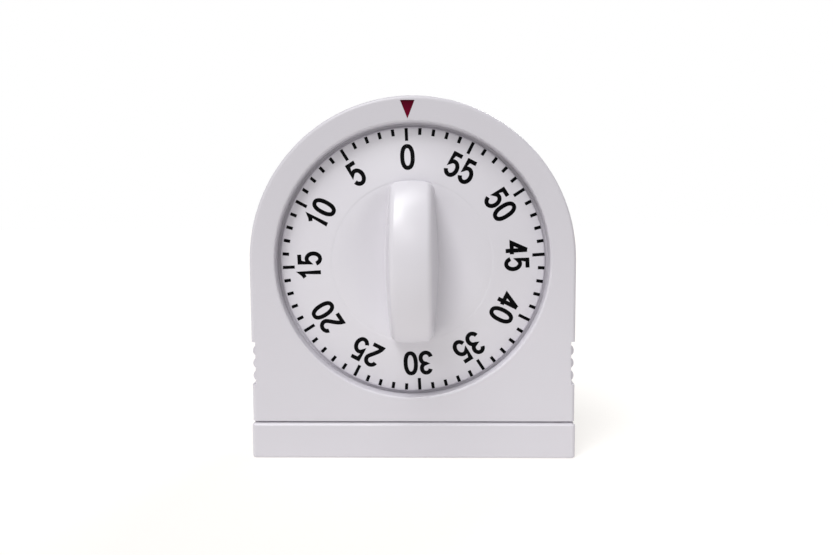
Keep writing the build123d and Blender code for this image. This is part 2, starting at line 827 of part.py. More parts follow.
def strike_star():
    pitch = 360 / star_teeth
    tip, foot = star_tip_share * pitch / 2, star_root_share * pitch / 2
    points = []
    for n in range(star_teeth):
        angle = star_gap_angle + (n + 1 / 2) * pitch
        points += [
            polar((0, 0), star_root_radius, angle - foot),
            polar((0, 0), star_radius, angle - tip),
            polar((0, 0), star_radius, angle + tip),
            polar((0, 0), star_root_radius, angle + foot),
        ]
    blank = make_face(Polyline(*points, close=True)) - Circle(arbor_radius)
    bottom = rear_inner + strike_level
    return plate(Pos(*third) * blank, bottom, bottom + wheel_thickness)


def tail_tip():
    return polar(third, star_radius + tail_gap + tail_tip_radius, tail_angle)


def hammer_tail():
    """Inside the plates: a bent arm over the star wheel, and a short arm for the ring lever."""
    elbow = offset_from(main, tail_elbow_offset)
    catch = offset_from(main, catch_offset)
    shape = Pos(*hammer) * Circle(hammer_hub_radius)
    shape += capsule(hammer, elbow, lever_arm_width)
    shape += capsule(elbow, tail_tip(), 2 * tail_tip_radius)
    shape += capsule(hammer, catch, finger_width)
    shape -= Pos(*hammer) * Circle(arbor_radius)
    bottom = rear_inner + strike_level
    return plate(shape, bottom, bottom + wheel_thickness)


def hammer_arbor():
    end = hammer_arm_level - wheel_thickness - hammer_arbor_overhang
    body = cylinder(hammer, end, front_inner - end_shake, arbor_radius)
    return body + cylinder(hammer, front_inner - end_shake, front_plate_front, pivot_radius)


def hammer_arm():
    """Behind the rear plate: a flat strip that carries the head."""
    shape = capsule(hammer, hammer_head, lever_arm_width)
    shape += Pos(*hammer) * Circle(hammer_hub_radius)
    shape -= Pos(*hammer) * Circle(arbor_radius)
    shape -= Pos(*hammer_head) * Circle(arbor_radius)
    return plate(shape, hammer_arm_level - wheel_thickness, hammer_arm_level)


def hammer_weight():
    """The head, riveted through the end of the arm."""
    top = hammer_arm_level - wheel_thickness
    head = cylinder(hammer_head, top - hammer_head_height, top, hammer_head_radius)
    return head + cylinder(hammer_head, top, hammer_arm_level + rivet_height, arbor_radius)


def bell():
    """A shallow steel cup, its crown to the back and its rim towards the rear plate."""
    bend = rear_plate_back - bell_rim_gap - bell_crown
    inner_bend = bend - bell_thickness
    start = bell_radius - bend
    hole = bell_stud_radius + running_gap
    diagonal = sin(pi / 4)
    outer_middle = (start + bend * diagonal, bell_crown + bend * (1 - diagonal))
    inner_middle = (start + inner_bend * diagonal, bell_crown + bend - inner_bend * diagonal)
    rim = bell_crown + bend
    outline = [
        Line((hole, bell_crown), (start, bell_crown)),
        ThreePointArc((start, bell_crown), outer_middle, (bell_radius, rim)),
        Line((bell_radius, rim), (bell_radius - bell_thickness, rim)),
        ThreePointArc((bell_radius - bell_thickness, rim), inner_middle, (start, bell_shoulder)),
        Line((start, bell_shoulder), (hole, bell_shoulder)),
        Line((hole, bell_shoulder), (hole, bell_crown)),
    ]
    section = Pos(bell_centre[0], bell_centre[1], 0) * Rot(90, 0, 0) * make_face(outline)
    return revolve(section, Axis((bell_centre[0], bell_centre[1], 0), (0, 0, 1)), 360)


def bell_post():
    post = cylinder(bell_centre, bell_shoulder, rear_plate_back, bell_post_radius)
    post += cylinder(bell_centre, bell_crown - nut_height, rear_inner, bell_stud_radius)
    return post + cylinder(bell_centre, rear_inner, rear_inner + rivet_height, rivet_radius)


def hexagon_nut(place, bottom, hole):
    shape = Pos(*place) * (RegularPolygon(nut_across / 2, 6, major_radius=False) - Circle(hole))
    return plate(shape, bottom, bottom + nut_height)


def bell_nut():
    return hexagon_nut(bell_centre, bell_crown - nut_height, bell_stud_radius)


def hammer_spring():
    """A wire from a post on the front plate to the hammer's tail; it draws the head to the bell."""
    elbow = offset_from(main, tail_elbow_offset)
    post = offset_from(main, spring_post_offset)
    bottom = rear_inner + strike_level
    touch = ((hammer[0] + elbow[0]) / 2, (hammer[1] + elbow[1]) / 2)
    reach = lever_arm_width / 2 + spring_wire_radius + running_gap
    side = polar(touch, reach, angle_between(hammer, elbow) - 90)
    wire = plate(capsule(post, side, 2 * spring_wire_radius), bottom, bottom + 2 * spring_wire_radius)
    return cylinder(post, bottom, front_plate_front, spring_post_radius) + wire


# ---- Frame of the clockwork ----
def pillar_places():
    offsets = (pillar_low_offset, pillar_high_offset)
    return [offset_from(main, (side * x, y)) for x, y in offsets for side in (-1, 1)]


def plate_blank():
    blank = Pos(main[0], main[1] - plate_drop) * Rectangle(plate_width, plate_height)
    low = blank.vertices().sort_by(Axis.Y)[:2]
    blank = chamfer(low, plate_bottom_corner)
    high = blank.vertices().sort_by(Axis.Y)[-2:]
    return chamfer(high, plate_top_corner)


def pivot_holes():
    return [(place, pivot_radius + running_gap) for place in (second, third, escape, anchor)]


def drilled(blank, holes):
    for place, radius in holes:
        blank -= Pos(*place) * Circle(radius)
    return blank


def front_plate():
    holes = pivot_holes() + [(main, main_radius + running_gap), (hammer, pivot_radius + running_gap)]
    holes += [(lever_pivot, arbor_radius), (stop_post_place(), stop_pin_radius)]
    holes.append((offset_from(main, spring_post_offset), spring_post_radius))
    holes += [(place, pillar_tenon_radius) for place in pillar_places()]
    holes += [(place, screw_radius) for place in movement_screw_places()]
    return plate(drilled(plate_blank(), holes), front_inner, front_plate_front)


def rear_plate():
    holes = pivot_holes() + [(main, main_pivot_radius + running_gap), (hammer, arbor_radius + running_gap)]
    holes.append((bell_centre, bell_stud_radius))
    holes += [(place, pillar_tenon_radius) for place in pillar_places()]
    return plate(drilled(plate_blank(), holes), rear_plate_back, rear_inner)


def pillars():
    """Riveted to the front plate, threaded for a nut behind the rear plate."""
    rods = []
    for place in pillar_places():
        rod = cylinder(place, rear_inner, front_inner, pillar_radius)
        rod += cylinder(place, rear_plate_back - nut_height, front_plate_front, pillar_tenon_radius)
        rod += cylinder(place, front_plate_front, front_plate_front + rivet_height, rivet_radius)
        rods.append(rod)
    return rods


def pillar_nuts():
    bottom = rear_plate_back - nut_height
    return [hexagon_nut(place, bottom, pillar_tenon_radius) for place in pillar_places()]


def movement_screws():
    screws = []
    for place in movement_screw_places():
        head = cylinder(place, well_front, well_front + movement_head_height, movement_head_radius)
        screws.append(head + cylinder(place, front_inner - movement_screw_reach, well_front, screw_radius))
    return screws


def stop_post_place():
    return polar(main, stop_radius, 90)


def stop_post():
    """A fixed pin in the front plate that stops the dial at both ends of its travel."""
    bottom = rear_inner + great_level + great_thickness + stop_pin_height - stop_post_overlap
    return cylinder(stop_post_place(), bottom, front_plate_front, stop_pin_radius)


def stop_pin():
    """A pin on the great wheel that meets the stop post."""
    bottom = rear_inner + great_level + great_thickness
    place = polar(main, stop_radius, 90 - (360 - dial_travel) / 2)
    return cylinder(place, bottom, bottom + stop_pin_height, stop_pin_radius)


# ---- Mainspring ----
def spring_barrel():
    """A fixed cup on the front plate, its closed side towards the dial."""
    bottom = front_plate_front
    cup = cylinder(main, bottom, bottom + barrel_height, barrel_radius)
    cup -= cylinder(main, bottom, bottom + barrel_height - barrel_wall, barrel_radius - barrel_wall)
    return cup - cylinder(main, bottom, bottom + barrel_height, main_radius + barrel_clearance)


def spiral(shift):
    """One side of the strip: half circles that run into one another, each further from the axis."""
    start = main_radius + spring_gap + spring_strip / 2
    finish = barrel_radius - barrel_wall - spring_gap - spring_strip / 2
    halves = 2 * spring_turns
    reach = [start + (finish - start) * n / halves + shift for n in range(halves + 1)]
    arcs = []
    for n in range(halves):
        side = -1 if n % 2 == 0 else 1
        begin, end = side * reach[n], -side * reach[n + 1]
        middle = ((begin + end) / 2, -side * (reach[n] + reach[n + 1]) / 2)
        arcs.append(ThreePointArc((begin, 0), middle, (end, 0)))
    return arcs


def mainspring():
    """A flat strip of steel wound round the arbor; its outer end is held in the barrel."""
    inner, outer = spiral(-spring_strip / 2), spiral(spring_strip / 2)
    ends = [Line(inner[0] @ 0, outer[0] @ 0), Line(inner[-1] @ 1, outer[-1] @ 1)]
    strip = make_face(inner + outer + ends)
    bottom = front_plate_front + barrel_clearance
    top = front_plate_front + barrel_height - barrel_wall - barrel_clearance
    return plate(Pos(*main) * strip, bottom, top)


PIECES = {
    "front_housing": front_housing,
    "rear_cover": rear_cover,
    "base_plinth": base_plinth,
    "pointer_insert": pointer_insert,
    "cover_screws": cover_screws,
    "base_screws": base_screws,
    "movement_screws": movement_screws,
    "front_plate": front_plate,
    "rear_plate": rear_plate,
    "pillars": pillars,
    "pillar_nuts": pillar_nuts,
    "spring_barrel": spring_barrel,
    "mainspring": mainspring,
    "bell_post": bell_post,
    "bell": bell,
    "bell_nut": bell_nut,
    "lever_stud": lever_stud,
    "stop_post": stop_post,
    "hammer_spring": hammer_spring,
    "dial_knob": dial_knob,
    "main_arbor": main_arbor,
    "great_wheel": great_wheel,
    "clutch_spring": clutch_spring,
    "snail_cam": snail_cam,
    "stop_pin": stop_pin,
    "second_arbor": second_arbor,
    "second_wheel": second_wheel,
    "third_arbor": third_arbor,
    "third_wheel": third_wheel,
    "strike_star": strike_star,
    "escape_arbor": escape_arbor,
    "escape_wheel": escape_wheel,
    "anchor_arbor": lambda: arbor(anchor),
    "anchor": anchor_lever,
    "rocker_weight": rocker,
    "ring_lever": ring_lever,
    "hammer_arbor": hammer_arbor,
    "hammer_tail": hammer_tail,
    "hammer_arm": hammer_arm,
    "hammer_head": hammer_weight,
}


def stand_up(shape):
    """Turns the timer from its back onto its base, centred over the middle of the case's depth."""
    return Pos(0, case_depth / 2, 0) * Rot(90, 0, 0) * shape


def write_parts():
    os.makedirs("parts", exist_ok=True)
    for name, make in PIECES.items():
        made = make()
        pieces = made if isinstance(made, list) else [made]
        solids = [solid for piece in pieces for solid in piece.solids()]
        node = Compound(children=solids) if len(solids) > 1 else solids[0]
        export_step(stand_up(node), f"parts/{name}.step")


write_parts()
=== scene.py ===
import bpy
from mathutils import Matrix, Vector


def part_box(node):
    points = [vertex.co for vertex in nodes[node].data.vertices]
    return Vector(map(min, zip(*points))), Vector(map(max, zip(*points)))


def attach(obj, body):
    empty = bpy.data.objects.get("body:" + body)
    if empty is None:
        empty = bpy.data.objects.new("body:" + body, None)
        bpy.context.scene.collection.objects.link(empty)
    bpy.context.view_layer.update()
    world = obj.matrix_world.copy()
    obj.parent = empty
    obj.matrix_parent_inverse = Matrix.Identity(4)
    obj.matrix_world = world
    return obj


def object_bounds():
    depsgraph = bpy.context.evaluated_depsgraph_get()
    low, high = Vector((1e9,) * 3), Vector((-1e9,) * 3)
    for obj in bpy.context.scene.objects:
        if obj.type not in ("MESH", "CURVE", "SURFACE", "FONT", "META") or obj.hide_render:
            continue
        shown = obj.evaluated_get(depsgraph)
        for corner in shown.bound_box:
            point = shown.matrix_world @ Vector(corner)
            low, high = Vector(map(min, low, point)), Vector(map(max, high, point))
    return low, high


bl_info = {
    "name": "Visual countdown timer",
    "version": (1, 0, 0),
    "blender": (4, 5, 0),
    "location": "View3D > Sidebar > Timer",
    "description": "Print, plastics, metals and studio for a wind-up sixty minute timer",
    "category": "Object",
}

from math import cos, pi, radians, sin, tan

import bpy
import numpy as np
from bpy.props import FloatProperty, FloatVectorProperty, PointerProperty
from mathutils import Matrix, Vector

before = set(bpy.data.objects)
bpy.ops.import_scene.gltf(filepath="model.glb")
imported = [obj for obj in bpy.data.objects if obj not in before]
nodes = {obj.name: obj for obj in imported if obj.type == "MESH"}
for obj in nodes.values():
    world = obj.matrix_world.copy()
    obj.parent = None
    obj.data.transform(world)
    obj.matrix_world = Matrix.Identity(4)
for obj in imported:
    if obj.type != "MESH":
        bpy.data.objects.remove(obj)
cad_corners = [list(corner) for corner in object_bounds()]

mm = 0.001
minutes_round = 60
minutes_a_number = 5
degrees_a_minute = 360 / minutes_round
section_sides = 4

case_face_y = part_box("front_housing")[0].y
dial_low, dial_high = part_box("dial_knob")
pointer_low, pointer_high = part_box("pointer_insert")
dial_middle_x = (dial_low.x + dial_high.x) / 2
dial_middle_z = (dial_low.z + dial_high.z) / 2
dial_reach = (dial_high.x - dial_low.x) / 2


# ---------------------------------------------------------------- settings


class TimerDialSettings(bpy.types.PropertyGroup):
    """Sizes of the dial's numbered ring, which the print follows, and of the face of its hub."""

    ring_radius: FloatProperty(
        name="Ring radius", description="Outer radius of the dial", default=dial_reach, unit="LENGTH"
    )
    ring_depth: FloatProperty(
        name="Ring depth",
        description="From the case's face back to the dial's rim",
        default=4 * mm,
        unit="LENGTH",
    )
    ring_slope: FloatProperty(
        name="Ring slope",
        description="How steeply the ring rises to the hub",
        default=radians(11),
        subtype="ANGLE",
    )
    hub_radius: FloatProperty(
        name="Hub radius", description="Where the ring ends", default=24.6 * mm, unit="LENGTH"
    )
    face_radius: FloatProperty(
        name="Face radius", description="Outer radius of the hub's face", default=24.5 * mm, unit="LENGTH"
    )
    face_sink: FloatProperty(
        name="Face sink",
        description="Of the face's edge below the hub's sharp edge",
        default=0.07 * mm,
        unit="LENGTH",
    )
    shoulder: FloatProperty(
        name="Shoulder",
        description="Width over which the face turns level inside its edge",
        default=6 * mm,
        unit="LENGTH",
    )
    hollow_depth: FloatProperty(
        name="Hollow depth",
        description="How far the face dips beside the grip",
        default=0.42 * mm,
        unit="LENGTH",
    )
    hollow_start: FloatProperty(
        name="Hollow start",
        description="From the grip's middle to where the face dips",
        default=17.5 * mm,
        unit="LENGTH",
    )
    hollow_end: FloatProperty(
        name="Hollow end",
        description="From the grip's middle to the deepest line",
        default=9.5 * mm,
        unit="LENGTH",
    )
    bedding: FloatProperty(
        name="Bedding",
        description="How far the face's body reaches into the dial's wall",
        default=1.6 * mm,
        unit="LENGTH",
    )


class TimerWellSettings(bpy.types.PropertyGroup):
    """Sizes of the ring that closes the gap round the dial."""

    depth: FloatProperty(
        name="Ring's depth",
        description="From the case's face back to the ring",
        default=5.5 * mm,
        unit="LENGTH",
    )
    thickness: FloatProperty(
        name="Ring's thickness", description="From its front to its back", default=1.0 * mm, unit="LENGTH"
    )
    clearance: FloatProperty(
        name="Clearance", description="Between the dial's rim and the ring", default=0.15 * mm, unit="LENGTH"
    )
    width: FloatProperty(
        name="Ring's width",
        description="Across the gap and a little into the case",
        default=1.0 * mm,
        unit="LENGTH",
    )


class TimerPrintSettings(bpy.types.PropertyGroup):
    """Sizes and colour of the numbers and minute marks printed on the dial."""

    ink: FloatVectorProperty(
        name="Ink",
        description="Colour of the print",
        default=(0.0015, 0.0015, 0.002),
        subtype="COLOR",
        size=3,
    )
    thickness: FloatProperty(
        name="Ink thickness",
        description="How far the ink stands off the dial",
        default=0.03 * mm,
        unit="LENGTH",
    )
    number_height: FloatProperty(
        name="Number height", description="Height of a digit", default=7.9 * mm, unit="LENGTH"
    )
    number_width: FloatProperty(
        name="Number width", description="Width of a digit", default=4.45 * mm, unit="LENGTH"
    )
    stroke: FloatProperty(
        name="Stroke", description="Width of a digit's strokes", default=1.27 * mm, unit="LENGTH"
    )
    digit_pitch: FloatProperty(
        name="Digit pitch",
        description="From the middle of one digit to the next",
        default=4.75 * mm,
        unit="LENGTH",
    )
    number_radius: FloatProperty(
        name="Number radius",
        description="From the dial's centre to the middle of the digits",
        default=31.8 * mm,
        unit="LENGTH",
    )
    tick_start: FloatProperty(
        name="Tick start", description="Outer radius of the minute marks", default=40.65 * mm, unit="LENGTH"
    )
    minute_tick: FloatProperty(
        name="Minute tick", description="Length of a one minute mark", default=2.1 * mm, unit="LENGTH"
    )
    five_tick: FloatProperty(
        name="Five minute tick", description="Length of a five minute mark", default=3.9 * mm, unit="LENGTH"
    )
    tick_width: FloatProperty(
        name="Tick width", description="Width of a mark", default=0.97 * mm, unit="LENGTH"
    )
    turn: FloatProperty(
        name="Print turn",
        description="How far the print is off the grip",
        default=radians(2.7),
        subtype="ANGLE",
    )
    off_centre: FloatProperty(
        name="Off centre",
        description="How far the print is to the right of the axis",
        default=0.25 * mm,
        unit="LENGTH",
    )


class TimerPlasticSettings(bpy.types.PropertyGroup):
    """Colours and surface of the moulded plastics."""

    case: FloatVectorProperty(
        name="Case", description="Colour of the case", default=(0.652, 0.633, 0.678), subtype="COLOR", size=3
    )
    dial: FloatVectorProperty(
        name="Dial", description="Colour of the dial", default=(0.712, 0.694, 0.74), subtype="COLOR", size=3
    )
    pointer: FloatVectorProperty(
        name="Pointer",
        description="Colour of the pointer",
        default=(0.12, 0.0008, 0.015),
        subtype="COLOR",
        size=3,
    )
    grain: FloatProperty(
        name="Grain", description="Size of the mould's fine texture", default=0.32 * mm, unit="LENGTH"
    )
    grain_depth: FloatProperty(
        name="Grain depth", description="Depth of the mould's fine texture", default=0.006 * mm, unit="LENGTH"
    )


class TimerMetalSettings(bpy.types.PropertyGroup):
    """Colours of the clockwork's metals."""

    brass: FloatVectorProperty(
        name="Brass",
        description="Colour of plates and wheels",
        default=(0.74, 0.53, 0.22),
        subtype="COLOR",
        size=3,
    )
    steel: FloatVectorProperty(
        name="Steel",
        description="Colour of arbors and levers",
        default=(0.50, 0.50, 0.51),
        subtype="COLOR",
        size=3,
    )
    plating: FloatVectorProperty(
        name="Plating",
        description="Colour of plated screws and nuts",
        default=(0.66, 0.66, 0.63),
        subtype="COLOR",
        size=3,
    )
    spring: FloatVectorProperty(
        name="Spring",
        description="Colour of tempered springs",
        default=(0.15, 0.17, 0.23),
        subtype="COLOR",
        size=3,
    )
    bell: FloatVectorProperty(
        name="Bell", description="Colour of the bell", default=(0.62, 0.62, 0.60), subtype="COLOR", size=3
    )


class TimerStudioSettings(bpy.types.PropertyGroup):
    """The camera's place and the strength of the lights."""

    distance: FloatProperty(
        name="Distance", description="From the camera to the case's face", default=0.23, unit="LENGTH"
    )
    azimuth: FloatProperty(
        name="Azimuth", description="Camera to the right", default=radians(1.43), subtype="ANGLE"
    )
    elevation: FloatProperty(
        name="Elevation", description="Camera above level", default=radians(5.1), subtype="ANGLE"
    )
    roll: FloatProperty(name="Roll", description="Camera's roll", default=radians(-0.31), subtype="ANGLE")
    focal_length: FloatProperty(
        name="Focal length", description="Of the lens, in millimetres", default=32.56, subtype="NONE"
    )
    aim_x: FloatProperty(
        name="Aim across", description="Where the camera looks", default=1.37 * mm, unit="LENGTH"
    )
    aim_z: FloatProperty(
        name="Aim up", description="Where the camera looks", default=56.57 * mm, unit="LENGTH"
    )
    room_light: FloatProperty(
        name="Room light", description="Strength of the light from all round", default=0.21
    )
    front_light: FloatProperty(
        name="Front light", description="Strength of the low light in front", default=0.32
    )
    window_light: FloatProperty(
        name="Window light", description="Strength of the light at the left", default=1.1
    )
    high_light: FloatProperty(
        name="High light", description="Strength of the light high at the left", default=1.08
    )
    ceiling_light: FloatProperty(
        name="Ceiling light", description="Strength of the light overhead", default=0.38
    )
    back_light: FloatProperty(name="Back light", description="Strength of the light behind", default=1.1)
    floor_glow: FloatProperty(
        name="Floor glow", description="Strength of the floor's own light", default=0.66
    )


# ---------------------------------------------------------------- node graphs


class Value:
    """A socket with arithmetic: each sum, difference or product adds its Math node."""

    def __init__(self, graph, socket):
        self.graph = graph
        self.socket = socket

    def maths(self, operation, first, second, clamp=False):
        settings = {"operation": operation, "use_clamp": clamp}
        return self.graph.node("ShaderNodeMath", settings, {0: first, 1: second})

    def __add__(self, other):
        return self.maths("ADD", self, other)

    def __radd__(self, other):
        return self.maths("ADD", other, self)

    def __sub__(self, other):
        return self.maths("SUBTRACT", self, other)

    def __rsub__(self, other):
        return self.maths("SUBTRACT", other, self)

    def __mul__(self, other):
        return self.maths("MULTIPLY", self, other)

    def __rmul__(self, other):
        return self.maths("MULTIPLY", other, self)

    def clamped(self):
        """The value, held between 0 and 1."""
        return self.maths("ADD", self, 0.0, clamp=True)

    def spread(self, amount):
        """A noise of 0 to 1 as a change of half the amount either way."""
        return amount * (self - 0.5)


class Graph:
    """A node tree that is written with one method."""

    def __init__(self, tree):
        self.tree = tree

    def node(self, kind, settings=None, sockets=None, output=0):
        """Adds a node: its settings first, then a value or link for each socket. Gives one output."""
        made = self.tree.nodes.new(kind)
        for name, value in (settings or {}).items():
            setattr(made, name, value)
        for name, value in (sockets or {}).items():
            if isinstance(value, Value):
                self.tree.links.new(value.socket, made.inputs[name])
            else:
                made.inputs[name].default_value = value
        return Value(self, made.outputs[output]) if len(made.outputs) else None


class Finish(Graph):
    """A material: textures on object coordinates, and a Principled shader at its end."""

    def __init__(self, name):
        self.material = bpy.data.materials.new(name)
        self.material.use_nodes = True
        super().__init__(self.material.node_tree)
        self.tree.nodes.clear()
        self.place = self.node("ShaderNodeTexCoord", output="Object")

    def stretched(self, scale, centre=(0, 0, 0)):
        """Object coordinates, centred and then scaled apart along x, y and z."""
        moved = self.node("ShaderNodeVectorMath", {"operation": "SUBTRACT"}, {0: self.place, 1: centre})
        return self.node("ShaderNodeVectorMath", {"operation": "MULTIPLY"}, {0: moved, 1: scale})

    def noise(self, size, detail, place=None):
        """Cloudy noise from 0 to 1 whose lumps are about `size` metres across."""
        sockets = {"Vector": place or self.place, "Scale": 1 / size, "Detail": detail, "Roughness": 0.55}
        return self.node("ShaderNodeTexNoise", {}, sockets)

    def between(self, factor, first, second):
        """A colour between two: Mix names its sockets alike, so those for colours go by their places."""
        sides = [side if isinstance(side, Value) else (*side, 1.0) for side in (first, second)]
        sockets = {0: factor, 6: sides[0], 7: sides[1]}
        return self.node("ShaderNodeMix", {"data_type": "RGBA"}, sockets, output=2)

    def bump(self, height, depth):
        """A normal from a height of 0 to 1 that stands for `depth` metres."""
        return self.node("ShaderNodeBump", {}, {"Strength": 1.0, "Distance": depth, "Height": height})

    def surface(self, **sockets):
        """The Principled shader; a name's underscores stand for the spaces in the socket's name."""
        named = {name.replace("_", " "): value for name, value in sockets.items()}
        for name, value in named.items():
            if name == "Base Color" and not isinstance(value, Value):
                named[name] = (*value, 1.0)
        shader = self.node("ShaderNodeBsdfPrincipled", {}, named)
        self.node("ShaderNodeOutputMaterial", {}, {"Surface": shader})
        return self.material


def shade(colour, amount):
    """The colour, darker or lighter by a factor."""
    return tuple(min(1.0, part * amount) for part in colour)


def give(names, material):
    """Puts one material on each of the named nodes."""
    for name in names:
        slots = nodes[name].data.materials
        slots.clear()
        slots.append(material)


# ---------------------------------------------------------------- shading of the moulded and turned nodes


def even_shading(crease=radians(32), weld=0.0005 * mm):
    """A modifier's node group that merges loose corners and smooths all edges but those past the crease."""
    tree = bpy.data.node_groups.new("even_shading", "GeometryNodeTree")
    tree.interface.new_socket("Geometry", in_out="INPUT", socket_type="NodeSocketGeometry")
    tree.interface.new_socket("Geometry", in_out="OUTPUT", socket_type="NodeSocketGeometry")
    graph = Graph(tree)
    source = graph.node("NodeGroupInput")
    merged = graph.node("GeometryNodeMergeByDistance", {}, {"Geometry": source, "Distance": weld})
    smooth = graph.node(
        "GeometryNodeSetShadeSmooth",
        {"domain": "FACE"},
        {"Geometry": merged, "Shade Smooth": True},
    )
    angle = graph.node("GeometryNodeInputMeshEdgeAngle")
    sharp = graph.node(
        "FunctionNodeCompare",
        {"data_type": "FLOAT", "operation": "GREATER_THAN"},
        {0: angle, 1: crease},
    )
    creased = graph.node(
        "GeometryNodeSetShadeSmooth",
        {"domain": "EDGE"},
        {"Geometry": smooth, "Selection": sharp, "Shade Smooth": False},
    )
    graph.node("NodeGroupOutput", {}, {0: creased})
    return tree


def shade_evenly(names, group, area_weight=80):
    """Flat faces stay flat beside their rounded edges: corner normals are weighted by face area."""
    for name in names:
        node = nodes[name]
        node.modifiers.new("even_shading", "NODES").node_group = group
        weighted = node.modifiers.new("weighted_normals", "WEIGHTED_NORMAL")
        weighted.keep_sharp = True
        weighted.weight = area_weight


# ---------------------------------------------------------------- meshes: well ring and hub face


def moulded(name, points, faces, material, body):
    """A piece with these points, faces and material, riding on a body; gives its mesh."""
    mesh = bpy.data.meshes.new(name)
    mesh.from_pydata(points.tolist(), [], faces)
    mesh.materials.append(material)
    piece = bpy.data.objects.new(name, mesh)
    bpy.context.scene.collection.objects.link(piece)
    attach(piece, body)
    return mesh


def section_walls(count, closed):
    """The faces between each four-sided section of a path and the next, and back to the first if closed."""
    steps = np.arange(count if closed else count - 1)[:, None]
    sides = np.arange(section_sides)
    ahead, beside = (steps + 1) % count, (sides + 1) % section_sides
    in_turn = (steps, sides), (steps, beside), (ahead, beside), (ahead, sides)
    return np.stack([step * section_sides + side for step, side in in_turn], axis=-1).reshape(-1, 4)


def well_ring(well, dial, sectors=144):
    """An oblong section carried round the dial's axis.

    Its corners are (radius, depth) pairs: inner in front and behind, then outer behind and in front. At the
    angle t from straight up, each stands at x = radius sin t and z = radius cos t from the axis, and at
    y = depth behind the case's face.
    """
    inner = dial.ring_radius + well.clearance
    radius = inner + np.array([0, 0, well.width, well.width])
    depth = well.depth + np.array([0, well.thickness, well.thickness, 0])
    around = np.linspace(0, 2 * pi, sectors, endpoint=False)[:, None]
    across, upward = radius * np.sin(around), radius * np.cos(around)
    sunk = np.broadcast_to(case_face_y + depth, across.shape)
    points = np.stack([across + dial_middle_x, sunk, upward + dial_middle_z], axis=-1).reshape(-1, 3)
    return points, section_walls(sectors, True).tolist()


def eased(share):
    """0 below 0, 1 above 1, and 3t^2 - 2t^3 between."""
    t = np.clip(share, 0, 1)
    return t * t * (3 - 2 * t)


def hub_face(dial, rings=40, sectors=144):
    """A nearly flat face that goes on from the ring's slope and dips beside the grip.

    With r from the axis, x across the grip and s = (face radius - r) / shoulder held between 0 and 1, the
    face's height over the hub's edge is shoulder * tan(slope) * (s - s^2 / 2) - sink
    - hollow * eased((start - |x|) / (start - end)) * eased((face radius - r) / fade width).
    Gives the corners and faces of a closed solid: rings in front, one more ring behind, which lies flat in
    the dial's wall, and the front and back poles.
    """
    fade_width = dial.face_radius / 4
    around = np.linspace(0, 2 * pi, sectors, endpoint=False)
    reach = dial.face_radius * np.arange(rings + 1)[:, None] / rings
    across = reach * np.sin(around)
    upward = reach * np.cos(around)
    dip = eased((dial.hollow_start - np.abs(across)) / (dial.hollow_start - dial.hollow_end))
    fade = eased((dial.face_radius - reach) / fade_width)
    inwards = np.clip((dial.face_radius - reach) / dial.shoulder, 0, 1)
    crown = dial.shoulder * tan(dial.ring_slope) * (inwards - inwards**2 / 2)
    height = crown - dial.face_sink - dial.hollow_depth * dip * fade
    back = np.full(sectors, -dial.bedding)
    grid = [np.concatenate([part[1:].ravel(), part[-1], [0, 0]]) for part in (across, upward)]
    tall = np.concatenate([height[1:].ravel(), back, [height[0, 0], -dial.bedding]])
    edge = case_face_y + dial.ring_depth - (dial.ring_radius - dial.hub_radius) * tan(dial.ring_slope)
    points = np.stack([grid[0] + dial_middle_x, edge - tall, grid[1] + dial_middle_z], axis=1)

    steps = np.arange(sectors)
    ahead = (steps + 1) % sectors
    rows = np.arange(rings)[:, None] * sectors
    quads = np.stack([rows + steps, rows + ahead, rows + sectors + ahead, rows + sectors + steps], axis=-1)
    front_pole, back_pole = len(points) - 2, len(points) - 1
    front = np.stack([np.full(sectors, front_pole), ahead, steps], axis=1)
    behind = np.stack([np.full(sectors, back_pole), rings * sectors + steps, rings * sectors + ahead], axis=1)
    return points, quads.reshape(-1, 4).tolist() + front.tolist() + behind.tolist()


# ---------------------------------------------------------------- print on the dial


def arc(centre, radius_across, radius_up, start, end, count):
    """Points of an ellipse's arc: centre + (a cos t, b sin t), t from start to end degrees."""
    t = np.radians(np.linspace(start, end, count))
    return np.stack([centre[0] + radius_across * np.cos(t), centre[1] + radius_up * np.sin(t)], axis=1)


def corners(*points):
    """The corners of a straight-sided line, as an array."""
    return np.array(points, float)


def bend(start, handle_a, handle_b, end, count=16):
    """Points of a cubic Bezier curve: (1-t)^3 P0 + 3(1-t)^2 t P1 + 3(1-t) t^2 P2 + t^3 P3."""
    t = np.linspace(0, 1, count)[:, None]
    p0, p1, p2, p3 = (np.array(p, float) for p in (start, handle_a, handle_b, end))
    return (1 - t) ** 3 * p0 + 3 * (1 - t) ** 2 * t * p1 + 3 * (1 - t) * t**2 * p2 + t**3 * p3


